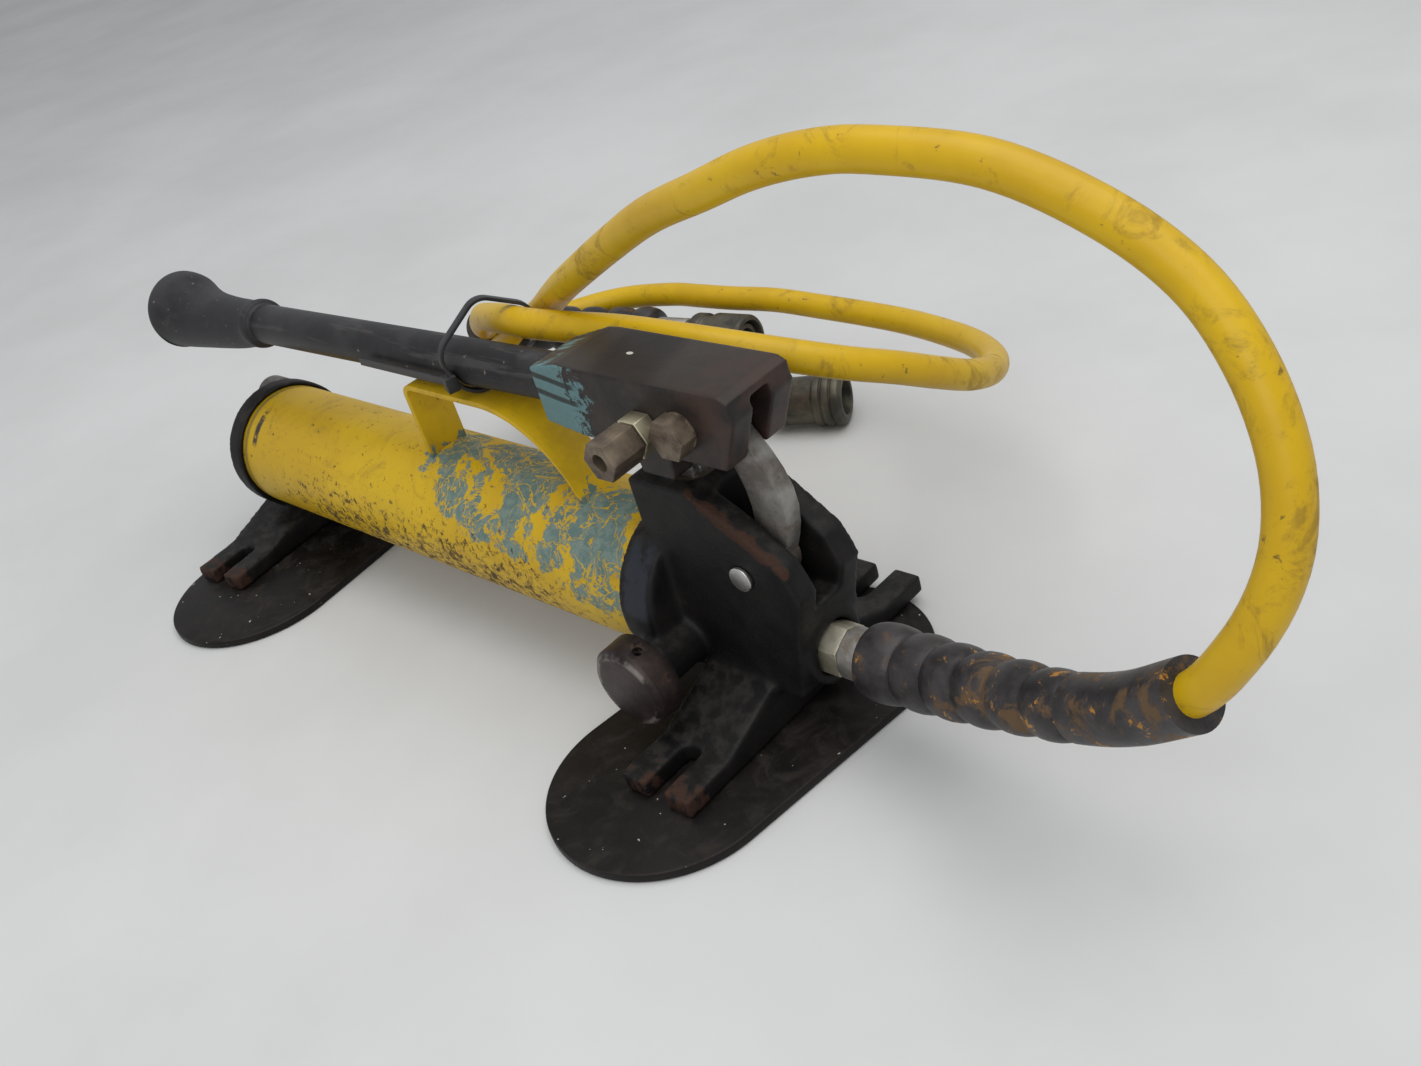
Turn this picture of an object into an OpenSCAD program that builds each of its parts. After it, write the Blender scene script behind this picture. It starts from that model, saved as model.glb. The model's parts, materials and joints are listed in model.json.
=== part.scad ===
// Hand-lever hydraulic pump on two base plates, with its hose and coupler.
// +X points from the grip to the hose outlet, +Z up; the origin lies on the
// front plate's resting face, under the pump's centreline.

/* [Base plates] */
// Length of each base plate
plate_len = 212; // [190:1:240]
// Width of each base plate
plate_w = 115; // [100:1:120]
// Thickness of each base plate
plate_t = 5; // [4:0.5:6]
// How far the plates reach towards the near side
plate_shift = -25; // [-30:1:0]
// Turn of the front plate about its middle
plate_yaw_front = -7; // [-10:0.5:10]
// Turn of the rear plate about its middle
plate_yaw_rear = 7.5; // [-10:0.5:10]

/* [Reservoir] */
// Outside diameter of the reservoir tube
tube_od = 76; // [74:1:78]
// Wall of the reservoir tube
tube_wall = 3; // [2:0.5:4]
// Height of the reservoir's axis above the floor
axis_z = 59; // [57:1:62]
// Front end of the tube, inside the head's collar
tube_front_x = -42; // [-43:0.5:-40]
// Rear end of the tube, inside the rear cap
tube_rear_x = -408; // [-440:1:-380]

/* [Head] */
// Thickness of the head casting across the pump
head_w = 42; // [40:1:46]
// Gap between the two cheeks that hold the link
cheek_gap = 16; // [14:0.5:18]
// Height of the outlet port's axis
outlet_z = 44; // [42:1:48]
// Half the distance between the slotted foot ends
foot_half = 88; // [80:1:95]
// Width of each foot, along the pump
foot_w = 42; // [36:1:46]
// Width of the open slots in the feet
slot_w = 11; // [9:0.5:13]

/* [Handle] */
// Upper link pin along X
pin_x = 6; // [4:0.5:8]
// Upper link pin height
pin_z = 159.5; // [158:0.5:161]
// Distance from the link pin back to the plunger pin
lever = 22; // [20:0.5:24]
// Outside diameter of the handle tube
handle_od = 23.4; // [20:0.1:25]
// Slope of the handle tube, negative where it falls towards the grip
handle_slope = -1.5; // [-3:0.1:0]
// Front end of the grip's collar
grip_front_x = -361; // [-380:1:-340]

/* [Plunger] */
// Diameter of the pump plunger
plunger_d = 16; // [14:0.5:18]

/* [Release valve] */
// Diameter of the release knob
knob_d = 42; // [38:1:46]
// Thickness of the release knob
knob_t = 15; // [12:1:18]

/* [Hose] */
// Outside diameter of the hose
hose_d = 15; // [13:0.5:16]

/* [Hidden] */

round_fn = 64;
fit = 0.05;                                  // running clearance on a radius
gap = 0.3;                                   // clearance between moving parts
tube_id = tube_od - 2 * tube_wall;
collar_r = tube_od / 2 + 2;
link_pin_x = 19.5;                           // lower link pin, held by the head
link_pin_z = 89.5;
plunger_x = pin_x - lever;                   // plunger axis, under its pin
plunger_pin_z = pin_z - 3.5;
head_top = 128;
beam_half = 19;                              // half width of the beam
tongue_half = 5.5;                           // half width of the plunger's tongue
bolt_r = 4.5;                                // the bolt in the plunger's eye
knob_x = -30;                                // release valve axis
knob_z = 41;
knob_face_y = -64;
tie_rod_r = 5;
suction_z = 40;                              // suction ball seat
discharge_x = 12;                            // discharge ball seat
relief_x = -24;
relief_z = 50;
cap_pos = [-146, 209, 17];                   // where the coupler's cap lies
coupler_yaw = 8;
coupler_pos = [-222, 193, 59];               // start of the coupler, at the end ferrule

// Route of the hose, from the pump's ferrule to the end ferrule.
hose_route = [[63, 0, 44.1], [88, -1, 47], [120, -9, 58], [150, -18, 71], [180, -27, 85], [206, -32, 99],
    [230, -35, 117], [244, -34, 137], [253, -29, 157], [256, -23, 177], [252, -16, 199],
    [240, -9, 222], [221, -2, 241], [194, 0, 258], [160, -2, 272], [122, -7, 277],
    [98, -9, 276], [71, -9, 270], [41, -6, 259], [-1, 3, 243], [-42, 13, 223],
    [-101, 29, 192], [-130, 39, 176], [-159, 48, 159], [-187, 50, 143], [-213, 54, 128],
    [-240, 60, 114], [-272, 73, 98], [-304, 92, 84], [-324, 119, 75], [-329, 151, 72],
    [-315, 180, 73], [-289, 203, 74], [-252, 213, 76], [-228, 216, 76], [-205, 220, 75],
    [-175, 228, 73], [-145, 234, 69], [-110, 236, 67], [-78, 232, 68], [-45, 222, 71],
    [-14, 207, 76], [13, 184, 84], [30, 158, 94], [39, 130, 108], [40, 107, 122],
    [35, 85, 136], [25, 66, 147], [9, 50, 157], [-11, 39, 164], [-37, 31, 169],
    [-74, 28, 170], [-104, 24, 170], [-131, 21, 170], [-156, 24, 168], [-198, 41, 155],
    [-222, 54, 145], [-246, 67, 132], [-276, 87, 115], [-299, 112, 98], [-306, 133, 86],
    [-301, 155, 75], [-286, 174, 65], [-265, 186, 60], [-248.6, 189.7, 59.1]];
guard_rings = 7;                             // route points inside the pump's guard
end_guard_rings = 7;                         // route points inside the end guard
guard_bore = 9.3;
fill_y = 15;                                 // fill plug's axis
fill_z = axis_z + 23.6;

// Stations of the grip: distance back from its front, drop below the tube, radius, slant.
grip_stations = [[0, 0, 13.4, 0], [1.2, 0, 14.4, 0], [7, 0.3, 14.6, 0], [8.5, 0.6, 13.8, 0],
    [17, 1.6, 14.2, 0], [30, 2.9, 15.3, 0], [42, 3.5, 15.9, 0], [55, 3.9, 16.9, 0.05],
    [67, 4.1, 17.8, 0.15], [78, 3.9, 19.2, 0.28], [88, 3.2, 20.8, 0.4], [97, 1.8, 22.6, 0.5],
    [103, 0.6, 24.1, 0.54], [107, 0, 24.6, 0.54], [109.5, 0, 22.5, 0.54], [110.5, 0, 17, 0.54]];

function unit(v) = v / norm(v);
function part(list, a, b) = [for (i = [a:b]) list[i]];
function tangents(p) = [for (i = [0:len(p) - 1])
    unit(p[min(i + 1, len(p) - 1)] - p[max(i - 1, 0)])];
function sideways(t) = [for (i = 0, u = unit(cross(t[0], [0, 1, 0.3]));
    i < len(t); i = i + 1, u = i < len(t) ? unit(u - t[i] * (u * t[i])) : u) u];
function ring(c, u, w, r, sides) = [for (k = [0:sides - 1])
    c + r * (u * cos(360 * k / sides) + w * sin(360 * k / sides))];

// Closed tube swept along points, with one radius for each point.
module sweep(p, radii, sides) {
    t = tangents(p);
    u = sideways(t);
    skin([for (i = [0:len(p) - 1]) ring(p[i], u[i], cross(t[i], u[i]), radii[i], sides)]);
}

// Closed skin over rings of the same number of points.
module skin(rings) {
    n = len(rings);
    sides = len(rings[0]);
    walls = [for (i = [0:n - 2]) for (k = [0:sides - 1])
        [i * sides + k, i * sides + (k + 1) % sides,
         (i + 1) * sides + (k + 1) % sides, (i + 1) * sides + k]];
    caps = [[for (k = [sides - 1:-1:0]) k], [for (k = [0:sides - 1]) (n - 1) * sides + k]];
    polyhedron(points = [for (r = rings) each r], faces = concat(walls, caps));
}

// The same tube with a bore along its whole length.
module bored_sweep(p, radii, bore, sides) {
    t = tangents(p);
    u = sideways(t);
    n = len(p);
    m = n * sides;
    points = [for (r = [radii, [for (q = p) bore]]) for (i = [0:n - 1])
        each ring(p[i], u[i], cross(t[i], u[i]), r[i], sides)];
    skins = [for (i = [0:n - 2]) for (k = [0:sides - 1]) let(a = i * sides + k, b = i * sides + (k + 1) % sides)
        each [[a, b, b + sides, a + sides], [m + b, m + a, m + a + sides, m + b + sides]]];
    ends = [for (k = [0:sides - 1]) let(j = (k + 1) % sides, e = (n - 1) * sides)
        each [[j, k, m + k, m + j], [e + k, e + j, m + e + j, m + e + k]]];
    polyhedron(points = points, faces = concat(skins, ends));
}

module along_x(x, y, z) { translate([x, y, z]) rotate([0, 90, 0]) children(); }
module along_y(x, y, z) { translate([x, y, z]) rotate([-90, 0, 0]) children(); }
module rod_x(x0, x1, r, y = 0, z = axis_z) {
    along_x(x0, y, z) cylinder(r = r, h = x1 - x0, $fn = round_fn);
}
module rod_y(y0, y1, r, x, z) { along_y(x, y0, z) cylinder(r = r, h = y1 - y0, $fn = round_fn); }
module hex_y(y0, y1, flats, x, z) {
    along_y(x, y0, z) cylinder(r = flats / sqrt(3), h = y1 - y0, $fn = 6);
}
module hex_x(x0, x1, flats, z) { along_x(x0, 0, z) cylinder(r = flats / sqrt(3), h = x1 - x0, $fn = 6); }
module side_plate(y0, y1) { translate([0, y1, 0]) rotate([90, 0, 0]) linear_extrude(y1 - y0) children(); }

module stadium_plate(x, yaw) {
    straight = plate_len / 2 - plate_w / 2;
    translate([x, plate_shift, 0]) rotate([0, 0, yaw]) linear_extrude(plate_t) {
        for (s = [-1, 1]) translate([0, s * straight]) circle(d = plate_w, $fn = round_fn);
        square([plate_w, 2 * straight], center = true);
    }
}
module base_plate_front() { color("dimgray") stadium_plate(-3, plate_yaw_front); }
module base_plate_rear() { color("dimgray") stadium_plate(foot_rear_x + 31, plate_yaw_rear); }

foot_rear_x = -412;                          // middle of the rear foot

// Cast foot across the pump with an open slot in each end.
module foot(x, top) {
    knee = foot_half - 30;
    difference() {
        translate([x - foot_w / 2, 0, 0]) rotate([90, 0, 90]) linear_extrude(foot_w)
            polygon([[-foot_half, plate_t], [-foot_half, plate_t + 10], [-knee, plate_t + 11],
                [-24, top], [24, top], [knee, plate_t + 11], [foot_half, plate_t + 10],
                [foot_half, plate_t]]);
        for (s = [-1, 1]) {
            translate([x, s * (knee + slot_w / 2 + 2), 0]) cylinder(d = slot_w, h = 60, $fn = round_fn);
            translate([x - slot_w / 2, s > 0 ? knee + slot_w / 2 + 2 : -foot_half - 1, 0])
                cube([slot_w, foot_half - knee, 60]);
        }
    }
}

module head_casting() {
    color([0.13, 0.12, 0.12]) difference() {
        union() {
            foot(0, 30);
            rod_x(-50, -28, collar_r);
            side_plate(-head_w / 2, head_w / 2) polygon([[-36, 24], [-38, head_top], [-4, head_top],
                [20, 116], [44, 98], [50, 84], [44, 64], [36, 26]]);
            rod_x(20, 44, 18, 0, outlet_z);
            rod_y(-46, -18, 12, knob_x, knob_z);
        }
        rod_x(-51, tube_front_x, tube_od / 2);                        // socket of the tube
        rod_x(tube_front_x - 9, tube_front_x + 4, tube_id / 2 - 4);   // room behind the tube
        translate([3, -cheek_gap / 2, 72]) cube([70, cheek_gap, 80]);
        rod_y(-30, 30, 5, link_pin_x, link_pin_z);
        rod_x(36, 46, 13, 0, outlet_z);                               // outlet recess
        rod_x(14, 46, 7, 0, outlet_z);
        translate([plunger_x, 0, 60]) cylinder(d = plunger_d + 0.1, h = 80, $fn = round_fn);
        translate([plunger_x, 0, 108]) cylinder(d = 26, h = 40, $fn = round_fn);
        translate([plunger_x, 0, 36]) cylinder(d = 10.4, h = 30, $fn = round_fn);
        rod_x(-40, plunger_x, 3, 0, 36);
        rod_x(plunger_x, 16, 3, 0, outlet_z + 8);
        translate([discharge_x, 0, outlet_z - 4]) cylinder(d = 8.4, h = 22, $fn = round_fn);
        rod_x(tube_front_x - 2, -30, tie_rod_r);
        rod_y(-50, -12, 5.05, knob_x, knob_z);
        rod_y(8, 30, 5, relief_x, relief_z);
    }
}

module rear_cap() {
    color([0.15, 0.14, 0.13]) difference() {
        union() {
            rod_x(-416, -402, collar_r + 1);
            rod_x(-424, -415, 30);
            translate([foot_rear_x, 0, 0]) rotate([0, 0, plate_yaw_rear])
                translate([-foot_rear_x, 0, 0]) foot(foot_rear_x, 26);
        }
        rod_x(tube_rear_x, -390, tube_od / 2);
        rod_x(-430, -390, tie_rod_r);
        rod_x(-430, -390, 6, fill_y, fill_z);
        translate([-400, -60, 20.5]) cube([40, 120, 90]);
    }
}

module reservoir_tube() {
    color("gold") difference() {
        rod_x(tube_rear_x + 1, tube_front_x - 1, tube_od / 2);
        rod_x(tube_rear_x, tube_front_x, tube_id / 2);
    }
}
module reservoir_seals() {
    color([0.1, 0.1, 0.1]) for (x = [tube_rear_x, tube_front_x - 1]) difference() {
        rod_x(x, x + 1, tube_od / 2);
        rod_x(x - 1, x + 2, tube_id / 2 - 1);
    }
}
module tie_rod() { color("silver") rod_x(-436, -30.3, tie_rod_r); }
module tie_rod_nut() {
    color("silver") difference() {
        along_x(-432, 0, axis_z) cylinder(r = 17 / sqrt(3), h = 8, $fn = 6);
        rod_x(-440, -410, tie_rod_r);
    }
}
module fill_plug() {
    color("gray") {
        rod_x(-424, -404, 5.9, fill_y, fill_z);
        along_x(-438, fill_y, fill_z) cylinder(r = 12, h = 13.7, $fn = round_fn);
    }
}

module carry_strap() {
    strap_w = 24;
    top = 141;
    color("gold") difference() {
        translate([0, strap_w / 2, 0]) rotate([90, 0, 0]) linear_extrude(strap_w) polygon(concat(
            [[-217, 94], [-217, top - 8]], arc(-209, top - 8, 8, 180, 90),
            [[-152, top]], arc(-152, top - 62, 62, 90, 20), [[-88, 94]],
            [[-91.5, 94]], arc(-152, top - 65, 62, 18, 90),
            [[-209, top - 3]], arc(-209, top - 8, 5, 90, 180), [[-214, 94]]));
        rod_x(-260, -60, tube_od / 2);
    }
}
function arc(cx, cz, r, a0, a1) = [for (k = [0:16]) let(a = a0 + (a1 - a0) * k / 16)
    [cx + r * cos(a), cz + r * sin(a)]];

module intake_tube() {
    color("silver") difference() {
        rod_x(-90, -36, 2.95, 0, 36);
        rod_x(-91, -35, 1.8, 0, 36);
    }
}
module intake_screen() { color("gray") difference() {
    rod_x(-104, -86, 6, 0, 36);
    rod_x(-92, -85, 2.95, 0, 36);
    rod_x(-102, -92.5, 5, 0, 36);
} }

module plunger() {
    color("silver") difference() {
        union() {
            translate([plunger_x, 0, 64]) cylinder(d = plunger_d, h = 65.5, $fn = round_fn);
            translate([plunger_x - 7, -tongue_half, 129]) cube([14, 2 * tongue_half, 27]);
            rod_y(-tongue_half, tongue_half, 11.5, plunger_x, plunger_pin_z);
        }
        for (d = [-0.4, 4.1]) rod_y(-20, 20, bolt_r + 0.5, plunger_x + d, plunger_pin_z);
        translate([plunger_x - 0.4, -20, plunger_pin_z - bolt_r - 0.5]) cube([4.5, 40, 2 * bolt_r + 1]);
    }
}
module plunger_gland() {
    color("dimgray") difference() {
        translate([plunger_x, 0, 114]) cylinder(d = 25.9, h = 12, $fn = round_fn);
        translate([plunger_x, 0, 110]) cylinder(d = plunger_d + 0.15, h = 20, $fn = round_fn);
    }
}
module plunger_seals() {
    color([0.1, 0.1, 0.1]) for (z = [108, 111]) difference() {
        translate([plunger_x, 0, z]) cylinder(d = 25.9, h = 2.8, $fn = round_fn);
        translate([plunger_x, 0, z - 1]) cylinder(d = plunger_d + 0.15, h = 5, $fn = round_fn);
    }
}

module valve_ball(x, y, z, d) { color("silver") translate([x, y, z]) sphere(d = d, $fn = 32); }
module valve_spring(x, z0, z1, r) {
    turns = 4;
    step = (z1 - z0) / turns;
    color("gray") for (k = [0:turns - 1]) translate([x, 0, z0 + (k + 0.5) * step])
        rotate_extrude($fn = 32) translate([r, 0]) circle(r = 0.45, $fn = 14);
}
module suction_ball() { valve_ball(plunger_x, 0, suction_z, 8); }
module suction_spring() { valve_spring(plunger_x, suction_z + 4.2, suction_z + 16, 3.6); }
module discharge_ball() { valve_ball(discharge_x, 0, outlet_z, 7); }
module discharge_spring() { valve_spring(discharge_x, outlet_z + 3.7, outlet_z + 15, 3); }
module relief_plug() { color("silver") rod_y(20, head_w / 2 + 2, 5, relief_x, relief_z); }
module relief_ball() { valve_ball(relief_x, 12, relief_z, 7); }
module relief_spring() {
    color("gray") for (k = [0:1]) along_y(relief_x, 16.2 + 2 * k, relief_z)
        rotate_extrude($fn = 32) translate([3, 0]) circle(r = 0.45, $fn = 14);
}

module release_knob() {
    color([0.3, 0.27, 0.25]) difference() {
        along_y(knob_x, knob_face_y, knob_z) rotate_extrude($fn = round_fn)
            polygon([[0, 0], [knob_d / 2 - 2.5, 0], [knob_d / 2, 2.5], [knob_d / 2, knob_t], [0, knob_t]]);
        translate([knob_x, knob_face_y + 8, knob_z]) rotate([0, 20, 0]) cylinder(d = 5, h = 40, $fn = 24);
        rod_y(knob_face_y + 6, -40, 5, knob_x, knob_z);
    }
}
module release_stem() { color("silver") rod_y(knob_face_y + 6, -16, 5, knob_x, knob_z); }
module release_seal() {
    color([0.1, 0.1, 0.1]) difference() {
        rod_y(-47.5, -46, 8, knob_x, knob_z);
        rod_y(-49, -44, 5.05, knob_x, knob_z);
    }
}

module link() {
    half = 4.75;
    color([0.62, 0.6, 0.56]) difference() {
        side_plate(-half, half) {
            translate([pin_x, pin_z]) circle(r = 9.5, $fn = 40);
            translate([link_pin_x, link_pin_z]) circle(r = 12, $fn = 40);
            polygon(concat(bow(14, 12), [for (k = [8:-1:0]) bow(14, -7)[k]]));
        }
        rod_y(-20, 20, 5 + fit, pin_x, pin_z);
        rod_y(-20, 20, 5 + fit, link_pin_x, link_pin_z);
    }
}
// Curved flank of the link: bulge forward at mid-length, offset sideways from the line of pins.
function bow(bulge, offset) = [for (k = [0:8]) let(s = k / 8)
    [link_pin_x + (pin_x - link_pin_x) * s + bulge * sin(180 * s) * 0.9 + offset * (0.85 + 0.15 * sin(180 * s)),
     link_pin_z + (pin_z - link_pin_z) * s]];

module link_pin() {
    color("silver") {
        rod_y(-head_w / 2 - 0.5, head_w / 2 + 3, 5, link_pin_x, link_pin_z);
        rod_y(-head_w / 2 - 2, -head_w / 2, 6, link_pin_x, link_pin_z);
    }
}
module link_pin_clip() {
    color("silver") difference() {
        rod_y(head_w / 2 + 0.4, head_w / 2 + 1.8, 8, link_pin_x, link_pin_z);
        rod_y(head_w / 2, head_w / 2 + 4, 5, link_pin_x, link_pin_z);
    }
}

socket_x = -91;                              // rear end of the beam's socket
slot_half = 6;                               // half width of the beam's slot
module beam() {
    color([0.2, 0.17, 0.17]) difference() {
        intersection() {
            side_plate(-beam_half, beam_half) polygon([[socket_x, 143.6], [socket_x, 171.8],
                [-66, 179], [32, 179], [37, 176.5], [38, 168], [27, 143.5], [-6, 143.5],
                [-7.5, 131.5], [-27, 131.5], [-29, 142], [-45, 144]]);
            translate([0, 0, 120]) linear_extrude(80) polygon([[socket_x, -15], [-62, -beam_half],
                [50, -beam_half], [50, beam_half], [-62, beam_half], [socket_x, 15]]);
        }
        translate([-32, -slot_half, 120]) cube([90, 2 * slot_half, 53]);
        rod_y(-30, 30, 5, pin_x, pin_z);
        rod_y(-30, 30, bolt_r, plunger_x, plunger_pin_z);
        handle_bore(handle_od / 2);
        for (s = [0, 1], z = [159.5, 168]) mirror([0, s, 0]) translate([socket_x, -15, z])
            rotate([0, 2, -7.85]) translate([-1, -1, 0]) cube([44, 2, 1.6]);
    }
}
module handle_bore(r) {
    translate([-45, 0, handle_z(-45)]) rotate([0, handle_slope, 0]) rotate([0, -90, 0])
        cylinder(r = r, h = 440, $fn = round_fn);
}
function handle_z(x) = 158.5 - (x + 74) * tan(handle_slope);
module handle_tube() {
    length = 405;
    color([0.22, 0.22, 0.23]) translate([-45, 0, handle_z(-45)]) rotate([0, handle_slope, 0])
        rotate([0, -90, 0]) difference() {
            cylinder(r = handle_od / 2, h = length, $fn = round_fn);
            translate([0, 0, -1]) cylinder(r = handle_od / 2 - 3, h = length + 2, $fn = round_fn);
        }
}
module grip() {
    color([0.12, 0.11, 0.12]) translate([grip_front_x, 0, handle_z(grip_front_x)])
        rotate([0, handle_slope, 0]) difference() {
            skin([for (g = grip_stations) [for (k = [0:31]) let(z = g[2] * sin(360 * k / 32))
                [-g[0] - g[3] * z, -g[2] * cos(360 * k / 32), z - g[1]]]]);
            translate([1, 0, 0]) rotate([0, -90, 0]) cylinder(r = handle_od / 2, h = 91, $fn = round_fn);
        }
}

module link_bolt() {
    color([0.5, 0.46, 0.42]) {
        rod_y(-beam_half - 1, beam_half + 9, 5, pin_x, pin_z);
        hex_y(-beam_half - 9.5, -beam_half - 1, 17, pin_x, pin_z);
        rod_y(-beam_half - 1, -beam_half, 9, pin_x, pin_z);
    }
}
module link_bolt_nut() {
    color([0.5, 0.46, 0.42]) difference() {
        hex_y(beam_half + 0.1, beam_half + 8, 17, pin_x, pin_z);
        rod_y(beam_half - 1, beam_half + 10, 5, pin_x, pin_z);
    }
}
module plunger_bolt() {
    color([0.5, 0.44, 0.4]) difference() {
        union() {
            rod_y(-beam_half - 10, beam_half + 2, bolt_r, plunger_x, plunger_pin_z);
            hex_y(-beam_half - 28, -beam_half - 10, 17, plunger_x, plunger_pin_z);
        }
        rod_y(-beam_half - 29, -beam_half - 20, 4, plunger_x, plunger_pin_z);
    }
}
module plunger_jam_nut() {
    color([0.8, 0.8, 0.7]) difference() {
        hex_y(-beam_half - 9, -beam_half - 0.1, 17, plunger_x, plunger_pin_z);
        rod_y(-beam_half - 12, -beam_half + 1, bolt_r, plunger_x, plunger_pin_z);
    }
}

// Loose cable tie round the handle tube and the hose strand beside it.
module cable_tie() {
    color([0.08, 0.08, 0.08]) translate([-150, 10, 0]) rotate([0, 0, 70]) {
        rotate([90, 0, 0]) linear_extrude(5, center = true) difference() {
            tie_loop(1.8);
            tie_loop(0);
        }
        translate([-30.6, -4, 149]) cube([6, 8, 8]);
        translate([-29, 2, 151]) rotate([0, 0, 20]) cube([1.3, 78, 4.5]);
    }
}
module tie_loop(t) {
    hull() for (c = [[-11.5, 157, 13.2], [-16, 164, 11], [-1, 177, 9], [12, 168, 10]])
        translate([c[0], c[1]]) circle(r = c[2] + t, $fn = 32);
}

module outlet_adapter() {
    color([0.75, 0.7, 0.5]) {
        rod_x(24, 40, 6.95, 0, outlet_z);
        hex_x(40, 52, 22, outlet_z);
    }
}
module hose_ferrule() { color([0.65, 0.65, 0.62]) rod_x(52, 62, 12, 0, outlet_z); }
module hose_guard() {
    color([0.2, 0.17, 0.16]) bored_sweep(concat([[64.2, 0, 44.1]], part(hose_route, 1, guard_rings - 1)),
        [16, 18, 16.5, 15, 13.5, 12.5, 12.5], guard_bore, 12);
}
module hose() {
    color("gold") sweep(hose_route, [for (p = hose_route) hose_d / 2], 8);
}
module end_guard() {
    n = len(hose_route);
    color([0.17, 0.16, 0.16]) bored_sweep(part(hose_route, n - end_guard_rings, n - 1),
        [12.5, 12.5, 12.5, 14, 16.5, 17.5, 16], guard_bore, 12);
}
module end_on_x() { translate(coupler_pos) rotate([0, 0, coupler_yaw]) rotate([0, 90, 0]) children(); }
module end_ferrule() {
    color("gray") end_on_x() translate([0, 0, -24.4]) cylinder(r = 12, h = 24.4, $fn = round_fn);
}
module coupler_body() {
    color("gray") end_on_x() difference() {
        rotate_extrude($fn = round_fn)
            polygon([[0, 0], [11, 0], [13, 6], [13, 30], [11, 30], [11, 44], [0, 44]]);
        translate([0, 0, 28]) cylinder(r = 8, h = 20, $fn = round_fn);
    }
}
module coupler_collar() {
    color("dimgray") end_on_x() translate([0, 0, 7]) difference() {
        rotate_extrude($fn = round_fn) polygon([[13.05, 0], [16, 0], [16, 7], [14.5, 8], [14.5, 14],
            [16.5, 15], [16.5, 38], [15, 40], [13.05, 40]]);
    }
}
module coupler_cap() {
    color([0.2, 0.2, 0.19]) translate(cap_pos) rotate([0, 0, 25]) rotate([0, 90, 0])
        rotate_extrude($fn = round_fn) polygon([[0, -26], [14, -26], [15, -24], [15, 4], [17, 5],
            [17, 9], [15.5, 10], [17, 11], [17, 15], [15.5, 16], [17, 17], [17, 21], [14, 23],
            [11, 23], [11, 4], [0, 4]]);
}

base_plate_front();
base_plate_rear();
head_casting();
rear_cap();
reservoir_tube();
reservoir_seals();
tie_rod();
tie_rod_nut();
fill_plug();
carry_strap();
intake_tube();
intake_screen();
plunger();
plunger_gland();
plunger_seals();
suction_ball();
suction_spring();
discharge_ball();
discharge_spring();
relief_plug();
relief_ball();
relief_spring();
release_knob();
release_stem();
release_seal();
link();
link_pin();
link_pin_clip();
beam();
handle_tube();
grip();
link_bolt();
link_bolt_nut();
plunger_bolt();
plunger_jam_nut();
cable_tie();
outlet_adapter();
hose_ferrule();
hose_guard();
hose();
end_guard();
end_ferrule();
coupler_body();
coupler_collar();
coupler_cap();
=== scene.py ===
# Hydraulic hand pump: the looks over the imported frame. Metres, +X from grip to outlet, +Z up.
import json
import math

import bpy
from mathutils import Matrix, Vector

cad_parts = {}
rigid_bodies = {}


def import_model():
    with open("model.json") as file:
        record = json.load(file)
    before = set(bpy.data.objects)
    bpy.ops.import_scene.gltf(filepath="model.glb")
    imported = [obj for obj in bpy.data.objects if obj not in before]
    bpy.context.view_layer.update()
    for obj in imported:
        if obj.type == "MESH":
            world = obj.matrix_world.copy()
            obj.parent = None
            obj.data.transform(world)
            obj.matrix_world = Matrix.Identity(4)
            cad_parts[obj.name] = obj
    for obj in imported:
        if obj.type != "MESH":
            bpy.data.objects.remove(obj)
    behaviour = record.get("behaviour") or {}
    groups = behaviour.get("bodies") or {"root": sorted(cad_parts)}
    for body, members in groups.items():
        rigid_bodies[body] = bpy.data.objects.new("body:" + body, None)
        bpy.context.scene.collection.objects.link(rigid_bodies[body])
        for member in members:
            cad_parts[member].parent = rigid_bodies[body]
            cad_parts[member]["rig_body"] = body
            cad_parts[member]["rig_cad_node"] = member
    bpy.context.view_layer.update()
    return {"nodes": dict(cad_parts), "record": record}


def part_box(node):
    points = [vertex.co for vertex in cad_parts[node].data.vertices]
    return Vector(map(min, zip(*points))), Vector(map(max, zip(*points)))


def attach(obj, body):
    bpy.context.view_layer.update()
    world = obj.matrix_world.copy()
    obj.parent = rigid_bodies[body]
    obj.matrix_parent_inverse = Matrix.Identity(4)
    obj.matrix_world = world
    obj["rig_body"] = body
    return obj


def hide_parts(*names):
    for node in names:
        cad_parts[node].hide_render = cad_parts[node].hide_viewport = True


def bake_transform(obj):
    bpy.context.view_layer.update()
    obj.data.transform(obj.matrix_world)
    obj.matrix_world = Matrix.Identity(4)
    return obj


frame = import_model()
nodes = frame["nodes"]
mm = 0.001

# Camera
camera = {"place": (0.3935, -0.3280, 0.4184), "lens": 34.81, "turn": 51.491,
          "height": 32.021, "roll": -17.036}


def addCamera(c):
    turn, height, roll = (math.radians(c[k]) for k in ("turn", "height", "roll"))
    back = Vector((math.sin(turn) * math.cos(height), -math.cos(turn) * math.cos(height),
                   math.sin(height)))
    right = Vector((math.cos(turn), math.sin(turn), 0))
    up = back.cross(right)
    sideways = right * math.cos(roll) + up * math.sin(roll)
    upwards = up * math.cos(roll) - right * math.sin(roll)
    data = bpy.data.cameras.new("camera")
    data.lens = c["lens"]
    data.clip_start = 0.01
    eye = bpy.data.objects.new("camera", data)
    bpy.context.scene.collection.objects.link(eye)
    axes = Matrix((sideways, upwards, back)).transposed()
    eye.matrix_world = Matrix.Translation(Vector(c["place"])) @ axes.to_4x4()
    bpy.context.scene.camera = eye


addCamera(camera)
print("camera placed")


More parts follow.
